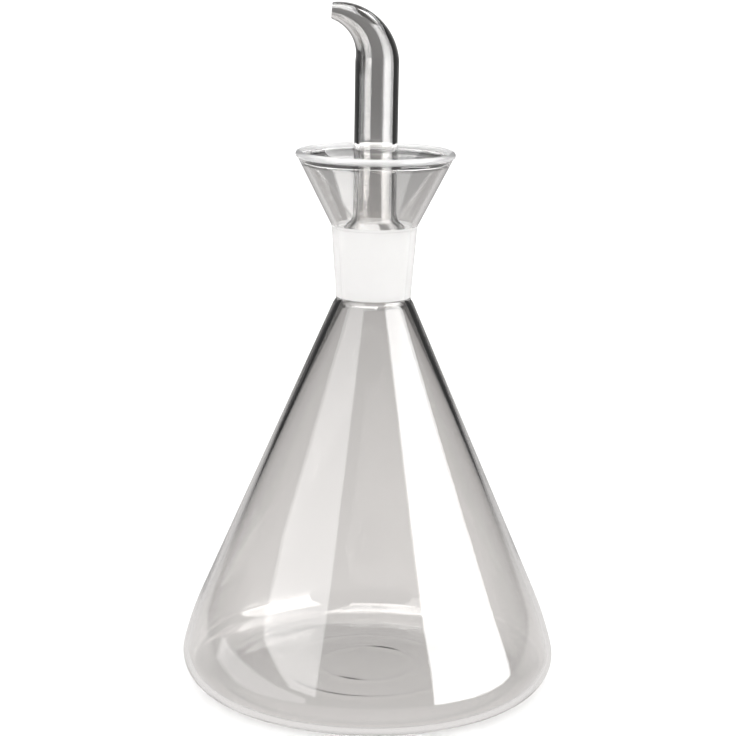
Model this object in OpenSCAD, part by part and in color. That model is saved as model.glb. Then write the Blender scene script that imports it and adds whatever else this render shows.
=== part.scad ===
// Drip-free oil cruet of 500 ml, in clear borosilicate glass.
// Two loose pieces: a conical flask with a ground neck and a drip funnel, and a hollow
// ground stopper that carries a curved pouring spout. Each is flame-sealed from blown
// sections, and every section is one node, so ground and clear glass stay apart.
// Origin: centre of the foot ring, on the table. +Z up. The spout pours towards -X.

/* [Flask] */
// Widest diameter of the flask
flask_d = 120; // [110:1:130]
// Height of the flask, from the table to the foot of the neck
flask_h = 126; // [116:1:140]
// Radius of the rounded heel
heel_r = 9.7; // [7:0.1:12]
// Radius of the gentle curve between the heel and the straight side
hip_r = 100; // [40:5:140]
// Angle above the horizontal at which the heel gives way to that curve
hip_start = 13.5; // [4:0.5:15]
// Wall thickness of the flask
flask_wall = 2; // [1.4:0.1:2.6]
// Radius of the shoulder, where the side turns in to the neck
shoulder_r = 5; // [3:0.5:9]
// Steepest slope of the shoulder, from the vertical
shoulder_slope = 38; // [32:1:48]
// Radius of the waist between shoulder and neck
waist_r = 1.6; // [1:0.1:3]

/* [Base] */
// Width of the flat ring that the flask stands on
foot_w = 4; // [2:0.5:8]
// Rise of the pushed-up base above the table
punt_h = 2.2; // [1.2:0.1:4]
// Thickness of the pushed-up base at its middle
base_t = 2.6; // [2.2:0.1:3.4]
// Diameter of the inner mould ring under the base
inner_ring_d = 31; // [20:1:40]
// Diameter of the outer mould ring under the base
outer_ring_d = 56; // [46:1:70]
// Width of a mould ring's groove
ring_w = 1.6; // [0.8:0.1:2.4]

/* [Neck and funnel] */
// Outer diameter of the neck at its foot
neck_foot_d = 23.5; // [22:0.1:25]
// Outer diameter of the neck at its top
neck_top_d = 26.8; // [25.5:0.1:29]
// Height of the ground neck
neck_h = 22; // [18:0.5:28]
// Wall thickness of the neck
neck_wall = 2; // [1.6:0.1:2.4]
// Outer diameter of the funnel's rim
rim_d = 49.8; // [44:0.2:56]
// Height of the funnel above the neck
funnel_h = 24; // [18:0.5:30]
// Wall thickness of the funnel
funnel_wall = 1.7; // [1.2:0.1:1.9]
// Radius where the funnel flares out of the neck
funnel_root_r = 3; // [1:0.5:6]
// Thickness of the fire-polished rim
rim_bead_d = 2.2; // [2.1:0.1:3.4]

/* [Stopper] */
// Gap between the ground stopper and its seat in the neck
seat_gap = 0.05; // [0.02:0.01:0.1]
// Height left free in the neck under the stopper
stopper_rise = 1.5; // [0.5:0.5:5]
// Depth of the ground stopper's edge below the top of the neck
stopper_sink = 1.9; // [0:0.1:3]
// Width of the groove that lets air in and drips back
vent_w = 3; // [2:0.1:4]
// Depth of that groove
vent_t = 0.8; // [0.4:0.1:1]

/* [Spout] */
// Wall thickness of the stopper and the spout
pourer_wall = 1.5; // [1.2:0.1:1.8]
// Outer diameter of the spout's stem
stem_d = 13.5; // [12:0.1:15]
// Slope of the flare between stopper and stem, from the vertical
flare_slope = 48; // [42:1:60]
// Radius at the flare's edge, on the stopper
flare_edge_r = 2.2; // [2:0.1:3]
// Radius where the flare runs into the stem
flare_fillet_r = 4; // [2:0.1:5]
// Height above the table at which the bend starts
bend_z = 199.6; // [185:0.2:230]
// Radius of the bend's centreline
bend_r = 15.2; // [12:0.1:20]
// Angle that the spout bends through
bend_angle = 86; // [60:1:110]
// Outer diameter of the spout's tip
tip_d = 5; // [4:0.1:8]
// Wall thickness at the tip
tip_wall = 0.9; // [0.6:0.1:1.2]
// How late the spout narrows: 1 is an even taper
taper_power = 1.25; // [1:0.05:2]

/* [Hidden] */

round_fn = 96;                 // sides of a turned shape, where it is drawn as a mesh
arc_steps = 14;                // steps along a heel, a floor or a rim
small_arc_steps = 7;           // steps along a shorter arc
bend_sides = 32;               // sides of the faceted bend
bend_rings = 18;               // rings along the faceted bend
lap = 0.2;                     // how far the stem runs into the bend, so that the two fuse
inset = 0.02;                  // how deep the bend's walls start inside the stem's
clear_colour = [0.86, 0.88, 0.88, 0.45];
ground_colour = [0.96, 0.96, 0.96, 0.9];

// Unit vector at an angle above the horizontal
function unit(a) = [cos(a), sin(a)];

// Points on an arc from angle a0 to a1. With first = 1 it leaves out its starting point.
function arc(centre, r, a0, a1, n = arc_steps, first = 0) =
    [for (i = [first : n]) centre + r * unit(a0 + (a1 - a0) * i / n)];

// Neck: its bore is the seat of the stopper
neck_top_z = flask_h + neck_h;
neck_foot_r = neck_foot_d / 2;
neck_top_r = neck_top_d / 2;
neck_lean = atan((neck_top_r - neck_foot_r) / neck_h);
seat_foot_r = neck_foot_r - neck_wall;
seat_top_r = neck_top_r - neck_wall;
function seat_r(z) = seat_foot_r + (seat_top_r - seat_foot_r) * (z - flask_h) / neck_h;

// Flask: centres of its heel, hip, waist and shoulder
flask_r = flask_d / 2;
heel_c = [flask_r - heel_r, heel_r];
hip_c = heel_c - (hip_r - heel_r) * unit(hip_start);
waist_c = [neck_foot_r, flask_h] + waist_r * unit(-neck_lean);
shoulder_c = waist_c - (waist_r + shoulder_r) * unit(shoulder_slope);
// The straight side touches both the hip and the shoulder
hip_offset = hip_c - shoulder_c;
side_lean = atan2(hip_offset[1], hip_offset[0]) + acos((shoulder_r - hip_r) / norm(hip_offset));
// Inside, the waist starts level with the foot of the neck
waist_start = asin((waist_c[1] - flask_h) / (waist_r + flask_wall));

// Base: a shallow dome below, and a floor that runs smoothly into the inner heel
foot_r = flask_r - heel_r - foot_w;
punt_r = (foot_r * foot_r + punt_h * punt_h) / (2 * punt_h);
punt_c = [0, punt_h - punt_r];
punt_edge = asin(foot_r / punt_r);
function punt_z(r) = punt_c[1] + sqrt(punt_r * punt_r - r * r);
floor_z = punt_h + base_t;
inner_heel_r = heel_r - flask_wall;
floor_r = (heel_c[0] * heel_c[0] + pow(heel_r - floor_z, 2) - inner_heel_r * inner_heel_r)
    / (2 * (floor_z - flask_wall));
floor_c = [0, floor_z - floor_r];
floor_edge = atan2(heel_c[0], heel_c[1] - floor_c[1]);

// Funnel: its wall leaves the root's curve straight towards the rim's bead
rim_z = neck_top_z + funnel_h;
bead_r = rim_bead_d / 2;
bead_c = [rim_d / 2 - bead_r, rim_z - bead_r];
root_c = [neck_top_r, neck_top_z] + funnel_root_r * unit(-neck_lean);
root_offset = bead_c - root_c;
funnel_slope = atan2(root_offset[1], root_offset[0]) + 90
    - acos(-(funnel_root_r + funnel_wall / 2) / norm(root_offset));
bead_join = asin(funnel_wall / 2 / bead_r);

// Stopper
stopper_z = flask_h + stopper_rise;
stopper_top_z = neck_top_z - stopper_sink;
stopper_foot_r = seat_r(stopper_z) - seat_gap;
stopper_top_r = seat_r(stopper_top_z) - seat_gap;

// Spout: flare and stem
stem_r = stem_d / 2;
edge_c = [stopper_top_r - flare_edge_r, stopper_top_z];
flare_bend_r = flare_edge_r + flare_fillet_r;
flare_run = (stopper_top_r - stem_r - flare_bend_r * (1 - cos(flare_slope))) / sin(flare_slope);
flare_top_z = stopper_top_z + flare_bend_r * sin(flare_slope) + flare_run * cos(flare_slope);
fillet_c = [stem_r + flare_fillet_r, flare_top_z];

// Spout: outer radius and bore of the bend at a share t of its length, from 0 to 1
tip_r = tip_d / 2;
function bend_outer(t) = stem_r - inset + (tip_r - stem_r + inset) * pow(t, taper_power);
function bend_wall(t) = pourer_wall - 2 * inset + (tip_wall - pourer_wall + 2 * inset) * t;
// The bore's flats, and not its corners, lie at its radius, as the stem's round bore does
function bend_bore(t) = (bend_outer(t) - bend_wall(t)) / cos(180 / bend_sides);

// Half section of the flask, from the middle of its underside round to the middle of its floor
function flask_section() = concat(
    arc(punt_c, punt_r, 90, 90 - punt_edge),
    arc(heel_c, heel_r, -90, 0),
    arc(heel_c, heel_r, 0, hip_start, 2, first = 1),
    arc(hip_c, hip_r, hip_start, side_lean, small_arc_steps, first = 1),
    arc(shoulder_c, shoulder_r, side_lean, shoulder_slope, small_arc_steps),
    arc(waist_c, -waist_r, shoulder_slope, -neck_lean, small_arc_steps, first = 1),
    [[seat_foot_r, flask_h]],
    arc(waist_c, -waist_r - flask_wall, waist_start, shoulder_slope, small_arc_steps, first = 1),
    arc(shoulder_c, shoulder_r - flask_wall, shoulder_slope, side_lean, small_arc_steps, first = 1),
    arc(hip_c, hip_r - flask_wall, side_lean, hip_start, small_arc_steps),
    arc(heel_c, inner_heel_r, hip_start, -90 - floor_edge, first = 1),
    arc(floor_c, floor_r, 90 - floor_edge, 90, first = 1)
);

// Half section of the funnel, from the top of the neck's bore round its rim
function funnel_section() = concat(
    [[seat_top_r, neck_top_z]],
    arc(root_c, -funnel_root_r, -neck_lean, funnel_slope - 90, small_arc_steps),
    arc(bead_c, bead_r, funnel_slope - 180 + bead_join, funnel_slope + 180 - bead_join, 2 * arc_steps),
    arc(root_c, -funnel_root_r - funnel_wall, funnel_slope - 90, -neck_lean, small_arc_steps)
);

// Half section of the spout's flare and stem
function stem_section() = concat(
    arc(edge_c, flare_edge_r, 0, flare_slope, small_arc_steps),
    arc(fillet_c, -flare_fillet_r, flare_slope, 0, small_arc_steps),
    [[stem_r, bend_z + lap], [stem_r - pourer_wall, bend_z + lap]],
    arc(fillet_c, -flare_fillet_r - pourer_wall, 0, flare_slope, small_arc_steps),
    arc(edge_c, flare_edge_r - pourer_wall, flare_slope, 0, small_arc_steps)
);

// Blown conical flask with a pushed-up base, which two mould rings mark
module flask_body() {
    color(clear_colour)
    difference() {
        rotate_extrude($fn = round_fn) polygon(flask_section());
        for (d = [inner_ring_d, outer_ring_d])
            rotate_extrude($fn = round_fn)
            translate([d / 2, punt_z(d / 2)])
                circle(d = ring_w, $fn = 32);
    }
}

// Neck, ground inside to seat the stopper
module neck_socket() {
    color(ground_colour)
    rotate_extrude($fn = round_fn) polygon([
        [seat_foot_r, flask_h],
        [neck_foot_r, flask_h],
        [neck_top_r, neck_top_z],
        [seat_top_r, neck_top_z]
    ]);
}

// Flared mouth that catches drips, with a fire-polished rim
module drip_funnel() {
    color(clear_colour)
    rotate_extrude($fn = round_fn) polygon(funnel_section());
}

// Groove down the back of the stopper, opposite the spout: it follows the stopper's lean
module vent_groove() {
    translate([stopper_foot_r, 0, stopper_z])
    rotate([0, neck_lean, 0])
    translate([-vent_t, -vent_w / 2, -neck_h])
        cube([neck_wall, vent_w, 3 * neck_h]);
}

// Hollow stopper, ground outside to fit the neck
module stopper_cone() {
    color(ground_colour)
    difference() {
        rotate_extrude($fn = round_fn) polygon([
            [stopper_foot_r - pourer_wall, stopper_z],
            [stopper_foot_r, stopper_z],
            [stopper_top_r, stopper_top_z],
            [stopper_top_r - pourer_wall, stopper_top_z]
        ]);
        vent_groove();
    }
}

// Hollow bend that narrows to the tip: rings of its outer and inner wall, swept along an arc
module spout_bend() {
    steps = [for (i = [0 : bend_rings]) i / bend_rings];
    function ring(t, r) = [
        for (k = [0 : bend_sides - 1])
        let (a = bend_angle * t, s = 360 * k / bend_sides, reach = bend_r + r * cos(s))
            [reach * cos(a) - bend_r, r * sin(s), bend_z + reach * sin(a)]
    ];
    outer = [for (t = steps) each ring(t, bend_outer(t))];
    inner = [for (t = steps) each ring(t, bend_bore(t))];
    bore = len(outer);
    tip = bend_rings * bend_sides;
    function next(k) = (k + 1) % bend_sides;
    outer_faces = [
        for (i = [0 : bend_rings - 1], k = [0 : bend_sides - 1])
        let (a = i * bend_sides + k, b = i * bend_sides + next(k))
        each [[a, a + bend_sides, b], [b, a + bend_sides, b + bend_sides]]
    ];
    bore_faces = [for (f = outer_faces) [f[0] + bore, f[2] + bore, f[1] + bore]];
    start_faces = [
        for (k = [0 : bend_sides - 1])
        each [[k, next(k), bore + k], [next(k), bore + next(k), bore + k]]
    ];
    tip_faces = [for (f = start_faces) [f[0] + tip, f[2] + tip, f[1] + tip]];
    faces = concat(outer_faces, bore_faces, start_faces, tip_faces);
    polyhedron(concat(outer, inner), faces, convexity = 6);
}

// Spout: a flare on the stopper, a straight stem and the bend to the tip
module spout_tube() {
    color(clear_colour)
    union() {
        difference() {
            rotate_extrude($fn = round_fn) polygon(stem_section());
            vent_groove();
        }
        spout_bend();
    }
}

flask_body();
neck_socket();
drip_funnel();
stopper_cone();
spout_tube();
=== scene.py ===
# Drip-free oil cruet in clear borosilicate glass: a conical flask with a ground neck and a drip
# funnel, and a lift-out pourer. Each is one blown and flame-sealed piece of glass, so each is one
# closed mesh here, and only the faces that were ground are matt.
import math
from types import SimpleNamespace

import bmesh
import bpy
from mathutils import Matrix, Vector


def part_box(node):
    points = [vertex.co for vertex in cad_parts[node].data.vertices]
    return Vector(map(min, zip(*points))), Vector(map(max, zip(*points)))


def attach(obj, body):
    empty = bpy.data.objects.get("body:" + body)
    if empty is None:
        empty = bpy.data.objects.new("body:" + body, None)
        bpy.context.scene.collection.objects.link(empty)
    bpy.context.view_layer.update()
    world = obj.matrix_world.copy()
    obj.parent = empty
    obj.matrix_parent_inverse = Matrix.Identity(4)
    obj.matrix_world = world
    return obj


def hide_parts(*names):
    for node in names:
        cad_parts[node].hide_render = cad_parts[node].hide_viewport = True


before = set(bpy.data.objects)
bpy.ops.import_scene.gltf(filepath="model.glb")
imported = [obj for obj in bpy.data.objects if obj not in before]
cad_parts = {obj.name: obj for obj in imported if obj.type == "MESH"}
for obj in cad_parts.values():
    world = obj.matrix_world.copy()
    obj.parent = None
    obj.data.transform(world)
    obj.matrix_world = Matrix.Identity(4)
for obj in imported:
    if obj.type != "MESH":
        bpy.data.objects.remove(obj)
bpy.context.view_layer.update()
print("frame loaded:", sorted(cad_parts))

mm = 0.001
weld = 0.002 * mm        # vertices closer than this are merged
slack = 0.1 * mm         # room for rounding where a place is looked up
sharpAngle = 40          # degrees, past which an edge stays sharp
groundSlot, rimSlot = 1, 2    # after clear glass, which comes first in each piece's materials
facingDown = -0.9        # a face whose normal's z is below this faces down

flaskBox, neckBox, funnelBox = (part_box(n) for n in ("flask_body", "neck_socket", "drip_funnel"))
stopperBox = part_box("stopper_cone")


def hexToLinear(text):
    # sRGB hex to linear RGBA
    parts = [int(text[i:i + 2], 16) / 255 for i in (1, 3, 5)]
    return [c / 12.92 if c <= 0.04045 else ((c + 0.055) / 1.055) ** 2.4 for c in parts] + [1.0]


def addNode(tree, kind, settings=None, values=None, links=None):
    node = tree.nodes.new(kind)
    for name, value in (settings or {}).items():
        setattr(node, name, value)
    for name, value in (values or {}).items():
        node.inputs[name].default_value = value
    for name, source in (links or {}).items():
        tree.links.new(source, node.inputs[name])
    return node


def newMaterial(name):
    mat = bpy.data.materials.new(name)
    mat.use_nodes = True
    mat.node_tree.nodes.clear()
    return mat, mat.node_tree


def unit(degrees):
    # One long, anticlockwise from x
    return Vector((math.cos(math.radians(degrees)), math.sin(math.radians(degrees))))


def lineTo(bm, vert, x, z, steps=1):
    start = vert.co.copy()
    for i in range(1, steps + 1):
        vert = bmesh.ops.extrude_vert_indiv(bm, verts=[vert])["verts"][0]
        vert.co = start.lerp(Vector((x, 0, z)), i / steps)
    return vert


def arcAround(bm, vert, centre, degrees, steps):
    # Anticlockwise with x to the right and z up
    spun = bmesh.ops.spin(bm, geom=[vert], cent=(centre[0], 0, centre[1]), axis=(0, -1, 0),
                          dvec=(0, 0, 0), angle=math.radians(degrees), steps=steps,
                          use_merge=False, use_duplicate=False)
    return [g for g in spun["geom_last"] if isinstance(g, bmesh.types.BMVert)][0]


def turn(bm, steps):
    bmesh.ops.spin(bm, geom=bm.verts[:] + bm.edges[:], cent=(0, 0, 0), axis=(0, 0, 1),
                   dvec=(0, 0, 0), angle=math.tau, steps=steps, use_merge=True, use_duplicate=False)
    bmesh.ops.remove_doubles(bm, verts=bm.verts[:], dist=weld)


def finishMesh(bm, name, materials):
    for face in bm.faces:
        face.smooth = True
    for edge in bm.edges:
        if len(edge.link_faces) == 2 and edge.calc_face_angle() > math.radians(sharpAngle):
            edge.smooth = False
    mesh = bpy.data.meshes.new(name)
    bm.to_mesh(mesh)
    bm.free()
    for mat in materials:
        mesh.materials.append(mat)
    piece = bpy.data.objects.new(name, mesh)
    bpy.context.scene.collection.objects.link(piece)
    print(name, len(mesh.polygons), "faces")
    return piece


glassLook = {
    "ior": 1.474,                       # borosilicate
    "waveApart": 35 * mm,
    "waveDeep": 0.16 * mm,              # the noise uses half of it, so the waves are 0.08 mm deep
    "waveDetail": 1.0, "waveRoughness": 0.4,
    "groundRoughness": 0.6, "groundThrough": 0.35,
    "rimRoughness": 0.3, "rimThrough": 0.65,
}


def clearGlass():
    # Blown and fire-polished: a smooth, colourless surface with a breath of grey, and the long,
    # shallow waves of glass that was blown by mouth or in a turned mould
    g = glassLook
    mat, tree = newMaterial("clearBorosilicateGlass")
    where = addNode(tree, "ShaderNodeTexCoord")
    waves = addNode(tree, "ShaderNodeTexNoise", values={
        "Scale": 1 / g["waveApart"], "Detail": g["waveDetail"], "Roughness": g["waveRoughness"]},
        links={"Vector": where.outputs["Object"]})
    bend = addNode(tree, "ShaderNodeBump", values={"Strength": 1.0, "Distance": g["waveDeep"]},
                   links={"Height": waves.outputs[0]})
    glass = addNode(tree, "ShaderNodeBsdfPrincipled", values={
        "Base Color": hexToLinear("#F4F3F2"), "Roughness": 0.0, "IOR": g["ior"],
        "Transmission Weight": 1.0}, links={"Normal": bend.outputs[0]})
    addNode(tree, "ShaderNodeOutputMaterial", links={"Surface": glass.outputs[0]})
    return mat


def groundGlass():
    # Ground with fine grit: a white matt face that lets light through but no image
    g = glassLook
    mat, tree = newMaterial("groundBorosilicateGlass")
    glass = addNode(tree, "ShaderNodeBsdfPrincipled", values={
        "Base Color": hexToLinear("#FAFAFA"), "Roughness": g["groundRoughness"], "IOR": g["ior"],
        "Transmission Weight": g["groundThrough"]})
    addNode(tree, "ShaderNodeOutputMaterial", links={"Surface": glass.outputs[0]})
    return mat


def rimGlass():
    # The rim is cut, ground and only just melted over, which leaves it a satin, milky line
    g = glassLook
    mat, tree = newMaterial("meltedRimGlass")
    glass = addNode(tree, "ShaderNodeBsdfPrincipled", values={
        "Base Color": hexToLinear("#FDFDFD"), "Roughness": g["rimRoughness"], "IOR": g["ior"],
        "Transmission Weight": g["rimThrough"]})
    addNode(tree, "ShaderNodeOutputMaterial", links={"Surface": glass.outputs[0]})
    return mat


clearMat, groundMat, rimMat = clearGlass(), groundGlass(), rimGlass()
print("glass ready")


# R is a radius, W a width, H a height and T a thickness. Slopes and turns are in degrees. From the
# table up, the outside is foot, heel, hip, side, shoulder, waist, neck, root of the funnel and bead
flaskSize = {
    "flaskR": 60 * mm, "wall": 2 * mm,
    "heelR": 9.7 * mm, "hipR": 100 * mm, "hipStart": 13.5,
    "shoulderR": 5 * mm, "shoulderSlope": 38, "waistR": 1.6 * mm,
    "footW": 4 * mm, "puntH": 2.2 * mm, "baseT": 2.6 * mm,     # the punt is the pushed-up base
    # Mould rings under the base: ringFaint times ringH high, and up to ringDeep times it at the
    # places round the base where they show, counted from ringTurn off the front
    "ringRadii": (15.5 * mm, 28 * mm), "ringW": 2.4 * mm, "ringH": 0.035 * mm,
    "ringPlaces": (2, 1), "ringTurn": -22, "ringFaint": 0.6, "ringDeep": 2.1, "ringFocus": 5,
    # Ripples on the inner floor, between two radii and within a band of heights round it
    "rippleAt": (24 * mm, 53 * mm), "rippleBand": (-0.3 * mm, 2 * mm),
    "rippleLength": 9.5 * mm, "rippleH": 0.1 * mm,
    "neckFootR": 11.75 * mm, "neckWall": 2 * mm,
    "seatEase": 3,                      # degrees past the ground seat where the inner waist starts
    "groundLip": 1.2 * mm,              # the grit reaches this far past the seat's upper edge
    "funnelWall": 1.7 * mm, "rootR": 3 * mm, "beadR": 1.1 * mm,
    "beadReach": 1.02,                  # share of the bead's radius that counts as bead
    "sides": 192,
}


def flaskPlan():
    # The sizes above, with the centres and angles that let each arc run into the next
    p = SimpleNamespace(**flaskSize)
    p.neckFootZ = flaskBox[1].z
    p.neckTop = Vector((neckBox[1].x, neckBox[1].z))
    p.seatTopR, p.seatFootR = p.neckTop.x - p.neckWall, p.neckFootR - p.neckWall

    p.neckLean = math.degrees(math.atan2(p.neckTop.x - p.neckFootR, p.neckTop.y - p.neckFootZ))
    p.heel = Vector((p.flaskR - p.heelR, p.heelR))
    p.hip = p.heel - (p.hipR - p.heelR) * unit(p.hipStart)
    p.waist = Vector((p.neckFootR, p.neckFootZ)) + p.waistR * unit(-p.neckLean)
    p.shoulder = p.waist - (p.waistR + p.shoulderR) * unit(p.shoulderSlope)
    between = p.hip - p.shoulder
    p.side = math.degrees(math.atan2(between.y, between.x)
                          + math.acos((p.shoulderR - p.hipR) / between.length))

    p.bead = Vector((funnelBox[1].x - p.beadR, funnelBox[1].z - p.beadR))
    p.root = p.neckTop + p.rootR * unit(-p.neckLean)
    reach = p.bead - p.root
    p.funnelSlope = (math.degrees(math.atan2(reach.y, reach.x)) + 90
                     - math.degrees(math.acos(-(p.rootR + p.funnelWall / 2) / reach.length)))
    p.beadJoin = math.degrees(math.asin(p.funnelWall / 2 / p.beadR))

    p.footR = p.heel.x - p.footW
    p.domeR = (p.footR ** 2 + p.puntH ** 2) / (2 * p.puntH)
    p.domeZ = p.puntH - p.domeR
    p.floorZ = p.puntH + p.baseT
    innerHeelR = p.heelR - p.wall
    p.floorR = ((p.heel.x ** 2 + (p.heelR - p.floorZ) ** 2 - innerHeelR ** 2)
                / (2 * (p.floorZ - p.wall)))
    p.floorCentre = (0, p.floorZ - p.floorR)
    p.floorEdge = math.degrees(math.atan2(p.heel.x, p.heel.y - p.floorCentre[1]))
    return p


def domeTop(p, r):
    # Height of the pushed-up base at a radius
    return p.domeZ + math.sqrt(p.domeR ** 2 - r ** 2)


def domeAngle(p, r):
    # The same place as an angle round the dome's centre
    return math.degrees(math.asin(r / p.domeR))


def drawUnderside(bm, p):
    # The pushed-up dome, broken by the mould's rings, out to the flat foot
    vert = bm.verts.new((0, 0, p.puntH))
    at = 0.0
    for ringR in p.ringRadii:
        near, far = ringR - p.ringW / 2, ringR + p.ringW / 2
        vert = arcAround(bm, vert, (0, p.domeZ), at - domeAngle(p, near), steps=6)
        end = Vector((far, 0, domeTop(p, far)))
        half = (end - vert.co).length / 2
        arcR = (half ** 2 + p.ringH ** 2) / (2 * p.ringH)
        across = (end - vert.co).normalized()
        centre = (vert.co + end) / 2 + Vector((across.z, 0, -across.x)) * (arcR - p.ringH)
        vert = arcAround(bm, vert, (centre.x, centre.z), -2 * math.degrees(math.asin(half / arcR)), steps=10)
        at = domeAngle(p, far)
    vert = arcAround(bm, vert, (0, p.domeZ), at - domeAngle(p, p.footR), steps=8)
    return lineTo(bm, vert, p.heel.x, 0, steps=2)


def drawOutside(bm, vert, p):
    # Heel, hip, side, shoulder, waist and neck
    vert = arcAround(bm, vert, p.heel, 90 + p.hipStart, steps=28)
    vert = arcAround(bm, vert, p.hip, p.side - p.hipStart, steps=12)
    top = p.shoulder + p.shoulderR * unit(p.side)
    vert = lineTo(bm, vert, top.x, top.y, steps=24)
    vert = arcAround(bm, vert, p.shoulder, p.shoulderSlope - p.side, steps=8)
    vert = arcAround(bm, vert, p.waist, -p.shoulderSlope - p.neckLean, steps=10)
    return lineTo(bm, vert, p.neckTop.x, p.neckTop.y, steps=8)


def drawFunnel(bm, vert, p):
    # Up the outside from the root, round the bead and down the inside
    vert = arcAround(bm, vert, p.root, p.funnelSlope - 90 + p.neckLean, steps=10)
    low = p.bead + p.beadR * unit(p.funnelSlope - 180 + p.beadJoin)
    vert = lineTo(bm, vert, low.x, low.y, steps=8)
    vert = arcAround(bm, vert, p.bead, 360 - 2 * p.beadJoin, steps=24)
    inner = p.root - (p.rootR + p.funnelWall) * unit(p.funnelSlope - 90)
    vert = lineTo(bm, vert, inner.x, inner.y, steps=8)
    return arcAround(bm, vert, p.root, 90 - p.funnelSlope - p.neckLean, steps=10)


def drawInside(bm, vert, p):
    # The ground seat, then waist, shoulder, side, hip and heel a wall further in, and the floor
    vert = lineTo(bm, vert, p.seatTopR, p.neckTop.y)
    vert = lineTo(bm, vert, p.seatFootR, p.neckFootZ, steps=8)
    start = math.degrees(math.asin((p.waist.y - p.neckFootZ) / (p.waistR + p.wall))) + p.seatEase
    below = p.waist - (p.waistR + p.wall) * unit(start)
    vert = lineTo(bm, vert, below.x, below.y)
    vert = arcAround(bm, vert, p.waist, p.shoulderSlope - start, steps=10)
    vert = arcAround(bm, vert, p.shoulder, p.side - p.shoulderSlope, steps=8)
    low = p.hip + (p.hipR - p.wall) * unit(p.side)
    vert = lineTo(bm, vert, low.x, low.y, steps=24)
    vert = arcAround(bm, vert, p.hip, p.hipStart - p.side, steps=12)
    vert = arcAround(bm, vert, p.heel, -90 - p.floorEdge - p.hipStart, steps=24)
    vert = arcAround(bm, vert, p.floorCentre, p.floorEdge, steps=80)
    vert.co = (0, 0, p.floorZ)


def rippleFloor(bm, p):
    # Faint chill rings round the floor, raised on the half section before it is turned
    near, far = p.rippleAt
    below, above = p.rippleBand
    for v in bm.verts:
        if near < v.co.x < far and p.floorZ + below < v.co.z < p.floorZ + above:
            share = (v.co.x - near) / (far - near)
            wave = math.sin(math.tau * (v.co.x - near) / p.rippleLength)
            v.co.z += p.rippleH * math.sin(math.pi * share) * wave


def fadeRings(bm, p):
    # The mould's rings come and go: the inner one is deep at two places, the outer one at one
    for ringR, places in zip(p.ringRadii, p.ringPlaces):
        for v in bm.verts:
            r = math.hypot(v.co.x, v.co.y)
            if abs(r - ringR) < p.ringW / 2 and v.co.z < p.puntH + p.ringH:
                around = math.atan2(v.co.x, -v.co.y) - math.radians(p.ringTurn)
                deep = max(0, math.cos(places * around)) ** p.ringFocus
                top = domeTop(p, r)
                v.co.z = top + (v.co.z - top) * (p.ringFaint + (p.ringDeep - p.ringFaint) * deep)


def finishFlaskFaces(bm, p):
    for face in bm.faces:
        c = face.calc_center_median()
        r = math.hypot(c.x, c.y)
        inward = face.normal.x * c.x + face.normal.y * c.y < 0
        inSeat = p.neckFootZ < c.z < p.neckTop.y + p.groundLip and r < p.seatTopR + p.groundLip
        if inSeat and inward:
            face.material_index = groundSlot
        if math.hypot(r - p.bead.x, c.z - p.bead.y) < p.beadR * p.beadReach:
            face.material_index = rimSlot


def buildFlask():
    p = flaskPlan()
    bm = bmesh.new()
    vert = drawUnderside(bm, p)
    vert = drawOutside(bm, vert, p)
    vert = drawFunnel(bm, vert, p)
    drawInside(bm, vert, p)
    rippleFloor(bm, p)
    turn(bm, p.sides)
    bmesh.ops.recalc_face_normals(bm, faces=bm.faces[:])
    fadeRings(bm, p)
    finishFlaskFaces(bm, p)
    return finishMesh(bm, "flaskGlass", [clearMat, groundMat, rimMat])


pourerSize = {
    "wall": 1.5 * mm, "stemR": 6.75 * mm,
    "flareSlope": 48, "flareEdgeR": 2.2 * mm, "flareFilletR": 4 * mm,
    "bendZ": 199.6 * mm, "bendR": 15.2 * mm, "bendAngle": 86,
    "tipR": 2.5 * mm, "tipWall": 0.9 * mm, "tipRound": 0.3 * mm,
    "tipEdgeAngle": 45,                 # the tip's edges are the ones sharper than this
    "taper": 1.25,                      # past 1, the tube keeps its width longer before it narrows
    "ventW": 3 * mm, "ventT": 0.8 * mm,
    "ventAbove": 1.2 * mm,              # the groove runs this far past the stopper's upper edge
    "ventSkin": 0.7 * mm,               # only this much of the wall's outside is pushed in
    "sides": 128, "bendSteps": 56,
}


def pourerPlan():
    p = SimpleNamespace(**pourerSize)
    p.low, p.high = stopperBox[0].z, stopperBox[1].z
    p.topR = stopperBox[1].y
    p.neckLean = math.atan2(neckBox[1].x - flaskSize["neckFootR"], neckBox[1].z - neckBox[0].z)
    p.footR = p.topR - (p.high - p.low) * math.tan(p.neckLean)
    p.edge = Vector((p.topR - p.flareEdgeR, p.high))
    bothR, slope = p.flareEdgeR + p.flareFilletR, math.radians(p.flareSlope)
    run = (p.topR - p.stemR - bothR * (1 - math.cos(slope))) / math.sin(slope)
    p.flareTop = p.high + bothR * math.sin(slope) + run * math.cos(slope)
    p.fillet = Vector((p.stemR + p.flareFilletR, p.flareTop))
    return p


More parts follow.
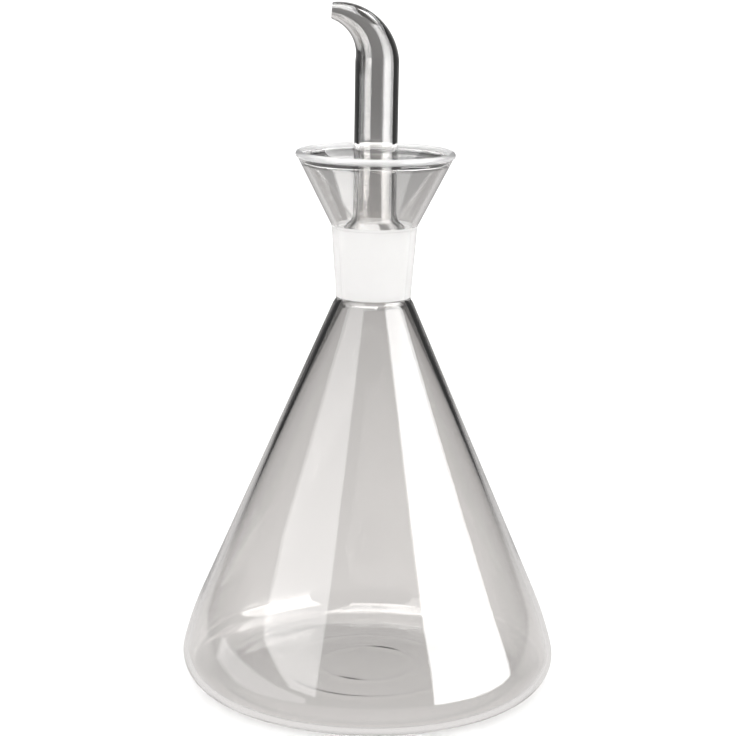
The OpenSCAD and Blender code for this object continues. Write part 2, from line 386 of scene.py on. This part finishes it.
def drawStopper(bm, p):
    # From the top of the stem down outside, round the stopper's foot and up inside
    vert = bm.verts.new((p.stemR, 0, p.bendZ))
    vert = lineTo(bm, vert, p.stemR, p.flareTop, steps=10)
    vert = arcAround(bm, vert, p.fillet, p.flareSlope, steps=8)
    out = p.edge + p.flareEdgeR * unit(p.flareSlope)
    vert = lineTo(bm, vert, out.x, out.y, steps=3)
    vert = arcAround(bm, vert, p.edge, -p.flareSlope, steps=8)
    vert = lineTo(bm, vert, p.footR, p.low, steps=10)
    vert = lineTo(bm, vert, p.footR - p.wall, p.low, steps=2)
    vert = lineTo(bm, vert, p.topR - p.wall, p.high, steps=10)
    vert = arcAround(bm, vert, p.edge, p.flareSlope, steps=8)
    back = p.fillet - (p.flareFilletR + p.wall) * unit(p.flareSlope)
    vert = lineTo(bm, vert, back.x, back.y, steps=3)
    vert = arcAround(bm, vert, p.fillet, -p.flareSlope, steps=8)
    lineTo(bm, vert, p.stemR - p.wall, p.bendZ, steps=10)


def drawBend(bm, p):
    # Both open rims of the stem are drawn on, turned and narrowed, one step at a time
    def wallAt(t):
        return p.wall + (p.tipWall - p.wall) * t

    def outerAt(t):
        return p.stemR + (p.tipR - p.stemR) * t ** p.taper

    loops = []
    for radius in (p.stemR, p.stemR - p.wall):
        loops.append([e for e in bm.edges if e.is_boundary
                      and abs(math.hypot(*e.verts[0].co.xy) - radius) < slack])
    pivotX, stepAngle = -p.bendR, math.radians(p.bendAngle) / p.bendSteps
    for i in range(1, p.bendSteps + 1):
        before, now = (i - 1) / p.bendSteps, i / p.bendSteps
        angle = math.radians(p.bendAngle) * now
        centre = Vector((pivotX + p.bendR * math.cos(angle), 0, p.bendZ + p.bendR * math.sin(angle)))
        for k in (0, 1):
            oldR = outerAt(before) - k * wallAt(before)
            newR = outerAt(now) - k * wallAt(now)
            made = bmesh.ops.extrude_edge_only(bm, edges=loops[k])["geom"]
            verts = [g for g in made if isinstance(g, bmesh.types.BMVert)]
            bmesh.ops.rotate(bm, verts=verts, cent=(pivotX, 0, p.bendZ),
                             matrix=Matrix.Rotation(-stepAngle, 3, "Y"))
            bmesh.ops.scale(bm, verts=verts, vec=(newR / oldR,) * 3, space=Matrix.Translation(-centre))
            loops[k] = [g for g in made if isinstance(g, bmesh.types.BMEdge)
                        and all(v in verts for v in g.verts)]
    return loops


def closeTip(bm, loops, p):
    tip = bmesh.ops.bridge_loops(bm, edges=loops[0] + loops[1])["faces"]
    tipEdges = list({e for f in tip for e in f.edges if len(e.link_faces) == 2
                     and e.calc_face_angle() > math.radians(p.tipEdgeAngle)})
    bmesh.ops.bevel(bm, geom=tipEdges, offset=p.tipRound, affect="EDGES", segments=4,
                    profile=0.5, material=-1)


def cutVent(bm, p):
    # A groove down the back, opposite the spout, lets air in while the oil runs out
    for v in bm.verts:
        r = math.hypot(v.co.x, v.co.y)
        outerR = p.footR + (v.co.z - p.low) * math.tan(p.neckLean)
        atBack = v.co.x > 0 and abs(v.co.y) < p.ventW / 2
        if atBack and v.co.z < p.high + p.ventAbove and r > outerR - p.ventSkin:
            v.co.xy *= min(1, (outerR - p.ventT) / r)


def finishPourerFaces(bm, p):
    for face in bm.faces:
        c = face.calc_center_median()
        outward = face.normal.x * c.x + face.normal.y * c.y > 0
        downward = face.normal.z < facingDown
        if p.low - slack < c.z < p.high and (outward or downward):
            face.material_index = groundSlot


def buildPourer():
    p = pourerPlan()
    bm = bmesh.new()
    drawStopper(bm, p)
    turn(bm, p.sides)
    loops = drawBend(bm, p)
    closeTip(bm, loops, p)
    bmesh.ops.recalc_face_normals(bm, faces=bm.faces[:])
    cutVent(bm, p)
    finishPourerFaces(bm, p)
    return finishMesh(bm, "pourerGlass", [clearMat, groundMat])


flask = buildFlask()
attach(flask, "flask")
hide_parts("flask_body", "neck_socket", "drip_funnel")

pourer = buildPourer()
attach(pourer, "pourer")
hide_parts("stopper_cone", "spout_tube")
print("glass built")


# The stage's sizes are in metres
floorSize = {"radius": 7.0, "sides": 128}


def buildFloor():
    s = floorSize
    bm = bmesh.new()
    bmesh.ops.create_circle(bm, cap_ends=True, segments=s["sides"], radius=s["radius"])
    mat, tree = newMaterial("paleFloorPaint")
    paint = addNode(tree, "ShaderNodeBsdfDiffuse", values={"Color": hexToLinear("#F6F6F6")})
    addNode(tree, "ShaderNodeOutputMaterial", links={"Surface": paint.outputs[0]})
    floor = finishMesh(bm, "floor", [mat])
    floor.visible_transmission = floor.visible_glossy = floor.visible_diffuse = False


tableSize = {"radius": 1.0, "sides": 128, "drop": 0.0005,
             "near": 0.1, "far": 0.8, "bright": 0.84, "dim": 0.45}


def buildLitTable():
    # What the glass refracts and mirrors in place of the floor: it falls off away from the bottle
    s = tableSize
    bm = bmesh.new()
    bmesh.ops.create_circle(bm, cap_ends=True, segments=s["sides"], radius=s["radius"])
    bmesh.ops.translate(bm, verts=bm.verts[:], vec=(0, 0, -s["drop"]))
    mat, tree = newMaterial("litAcrylicTable")
    where = addNode(tree, "ShaderNodeTexCoord")
    away = addNode(tree, "ShaderNodeVectorMath", {"operation": "LENGTH"}, links={0: where.outputs["Object"]})
    fall = addNode(tree, "ShaderNodeMapRange", None,
                   {"From Min": s["near"], "From Max": s["far"], "To Min": s["bright"], "To Max": s["dim"]},
                   {"Value": away.outputs["Value"]})
    glow = addNode(tree, "ShaderNodeEmission", values={"Color": hexToLinear("#FFFDFC")},
                   links={"Strength": fall.outputs[0]})
    addNode(tree, "ShaderNodeOutputMaterial", links={"Surface": glow.outputs[0]})
    table = finishMesh(bm, "litTable", [mat])
    table.visible_camera = table.visible_shadow = False


roomLight = {
    "dome": 1.45, "room": 0.26,
    "domeThroughGlass": 3.5,            # what ground glass gathers from all round
    "straightThrough": 0.8,             # the most that a box gives straight through clear glass
    "once": 0.5,                        # depths are whole numbers, so this tells none from some
}


def softboxCloth(name, strength, low, fullAt):
    # Full strength in reflections and dimmed straight through clear glass. Ground glass scatters
    # it, and there it counts as part of the dome
    s = roomLight
    mat, tree = newMaterial(name + "Cloth")
    where = addNode(tree, "ShaderNodeTexCoord")
    split = addNode(tree, "ShaderNodeSeparateXYZ", links={0: where.outputs["Object"]})
    fall = addNode(tree, "ShaderNodeMapRange", {"interpolation_type": "SMOOTHSTEP"},
                   {"From Min": low, "From Max": fullAt, "To Min": strength[0], "To Max": strength[1]},
                   {"Value": split.outputs["Z"]})
    path = addNode(tree, "ShaderNodeLightPath")
    dimmed = addNode(tree, "ShaderNodeMath", {"operation": "MINIMUM"}, {1: s["straightThrough"]},
                     {0: fall.outputs[0]})
    reflected = addNode(tree, "ShaderNodeMath", {"operation": "GREATER_THAN"}, {1: s["once"]},
                        {0: path.outputs["Glossy Depth"]})
    clear = addNode(tree, "ShaderNodeMix", {"data_type": "FLOAT"}, None,
                    {"Factor": reflected.outputs[0], "A": dimmed.outputs[0], "B": fall.outputs[0]})
    unscattered = addNode(tree, "ShaderNodeMath", {"operation": "LESS_THAN"}, {1: s["once"]},
                          {0: path.outputs["Diffuse Depth"]})
    power = addNode(tree, "ShaderNodeMix", {"data_type": "FLOAT"}, {"A": s["domeThroughGlass"]},
                    {"Factor": unscattered.outputs[0], "B": clear.outputs["Result"]})
    glow = addNode(tree, "ShaderNodeEmission", values={"Color": hexToLinear("#FFFFFF")},
                   links={"Strength": power.outputs["Result"]})
    addNode(tree, "ShaderNodeOutputMaterial", links={"Surface": glow.outputs[0]})
    return mat


# Span in degrees, seen from above and from the front towards +X. Strength at the foot and from
# fullAt up. The corner cut is a share of half the panel's width and height
panelUsual = {"height": (0.0, 1.3), "away": 1.0, "fullAt": 0.8, "cornerCut": 0.0}
panels = {
    "rightSoftbox": {"span": (40, 95), "strength": (9.0, 7.5)},
    "leftSoftbox": {"span": (-81, -30), "strength": (3.0, 3.0), "height": (0.55, 1.3)},
    # Its cut corner draws the taper at the foot of the flask's left reflection
    "leftSoftboxFoot": {"span": (-81, -30), "strength": (3.0, 3.0), "height": (0.135, 0.55),
                        "cornerCut": 1.35},
    "leftLowBox": {"span": (-105, -36), "strength": (2.0, 2.0), "height": (0.0, 0.12)},
    "leftHighBox": {"span": (-150, -100), "strength": (4.0, 4.0), "height": (0.9, 1.6)},
    "rightHighBox": {"span": (100, 150), "strength": (4.0, 4.0), "height": (0.9, 1.6)},
    "backdrop": {"span": (170, 190), "strength": (0.44, 0.23), "height": (-0.001, 0.26),
                 "away": 0.95, "fullAt": 0.11},
    # Black flags beside and above the backdrop draw the dark edges of the tube
    "leftFlag": {"span": (-170, -105), "strength": (0.04, 0.04), "height": (0.0, 0.9), "away": 0.95},
    "rightFlag": {"span": (105, 170), "strength": (0.04, 0.04), "height": (0.0, 0.9), "away": 0.95},
    "backFlag": {"span": (162, 198), "strength": (0.04, 0.04), "height": (0.26, 1.1), "away": 0.96},
}


def buildPanel(name, s):
    (fromAngle, toAngle), (low, high), away = s["span"], s["height"], s["away"]
    halfWidth = away * math.tan(math.radians((toAngle - fromAngle) / 2))
    bm = bmesh.new()
    bmesh.ops.create_grid(bm, x_segments=1, y_segments=1, size=1)
    if s["cornerCut"]:
        corner = min(bm.verts, key=lambda v: v.co.x + v.co.y)
        bmesh.ops.bevel(bm, geom=[corner], offset=s["cornerCut"], affect="VERTICES", segments=1,
                        profile=0.5, material=-1)
    bmesh.ops.scale(bm, verts=bm.verts[:], vec=(halfWidth, (high - low) / 2, 1))
    bmesh.ops.rotate(bm, verts=bm.verts[:], cent=(0, 0, 0), matrix=Matrix.Rotation(math.radians(90), 3, "X"))
    bmesh.ops.translate(bm, verts=bm.verts[:], vec=(0, -away, (high + low) / 2))
    middle = math.radians((fromAngle + toAngle) / 2)
    bmesh.ops.rotate(bm, verts=bm.verts[:], cent=(0, 0, 0), matrix=Matrix.Rotation(middle, 3, "Z"))
    panel = finishMesh(bm, name, [softboxCloth(name, s["strength"], low, s["fullAt"])])
    panel.visible_camera = panel.visible_diffuse = panel.visible_shadow = False


topSize = {"halfSize": (0.75, 0.8, 1), "place": (-0.45, -0.35, 1.5), "strength": (9.0, 9.0)}


def buildTopLight():
    s = topSize
    bm = bmesh.new()
    bmesh.ops.create_grid(bm, x_segments=1, y_segments=1, size=1)
    bmesh.ops.scale(bm, verts=bm.verts[:], vec=s["halfSize"])
    bmesh.ops.translate(bm, verts=bm.verts[:], vec=s["place"])
    panel = finishMesh(bm, "topLight", [softboxCloth("topLight", s["strength"], low=0, fullAt=1)])
    panel.visible_camera = panel.visible_diffuse = panel.visible_shadow = False


def buildWorld():
    # A white dome for the camera and for scattered light, and a dim room in reflections
    s = roomLight
    world = bpy.data.worlds.new("studio")
    bpy.context.scene.world = world
    world.use_nodes = True
    tree = world.node_tree
    tree.nodes.clear()
    path = addNode(tree, "ShaderNodeLightPath")
    soft = addNode(tree, "ShaderNodeMath", {"operation": "GREATER_THAN"}, {1: s["once"]},
                   {0: path.outputs["Diffuse Depth"]})
    white = addNode(tree, "ShaderNodeMath", {"operation": "MAXIMUM"}, None,
                    {0: soft.outputs[0], 1: path.outputs["Is Camera Ray"]})
    through = addNode(tree, "ShaderNodeMath", {"operation": "GREATER_THAN"}, {1: s["once"]},
                      {0: path.outputs["Transmission Depth"]})
    power = addNode(tree, "ShaderNodeMix", {"data_type": "FLOAT"},
                    {"A": s["dome"], "B": s["domeThroughGlass"]}, {"Factor": through.outputs[0]})
    dome = addNode(tree, "ShaderNodeBackground", values={"Color": (1, 1, 1, 1)},
                   links={"Strength": power.outputs["Result"]})
    room = addNode(tree, "ShaderNodeBackground", values={"Color": hexToLinear("#FFFAF8"),
                                                         "Strength": s["room"]})
    mixed = addNode(tree, "ShaderNodeMixShader", links={"Fac": white.outputs[0], 1: room.outputs[0],
                                                        2: dome.outputs[0]})
    addNode(tree, "ShaderNodeOutputWorld", links={"Surface": mixed.outputs[0]})


cameraSize = {
    "place": (0, -0.6538, 0.2471), "pitch": 12.44, "roll": 0.95,
    "sensor": 36, "lens": 103.16,       # millimetres
    "shiftX": -0.0056,
}


def buildCamera():
    s = cameraSize
    data = bpy.data.cameras.new("camera")
    data.sensor_fit, data.sensor_width, data.lens = "HORIZONTAL", s["sensor"], s["lens"]
    data.shift_x = s["shiftX"]
    camera = bpy.data.objects.new("camera", data)
    bpy.context.scene.collection.objects.link(camera)
    camera.matrix_world = (Matrix.Translation(s["place"])
                           @ Matrix.Rotation(math.radians(90 - s["pitch"]), 4, "X")
                           @ Matrix.Rotation(math.radians(s["roll"]), 4, "Z"))
    bpy.context.scene.camera = camera


buildFloor()
buildLitTable()
for name, panel in panels.items():
    buildPanel(name, {**panelUsual, **panel})
buildTopLight()
buildWorld()
buildCamera()
bpy.context.scene.view_settings.view_transform = "Standard"
print("stage, light and camera set")
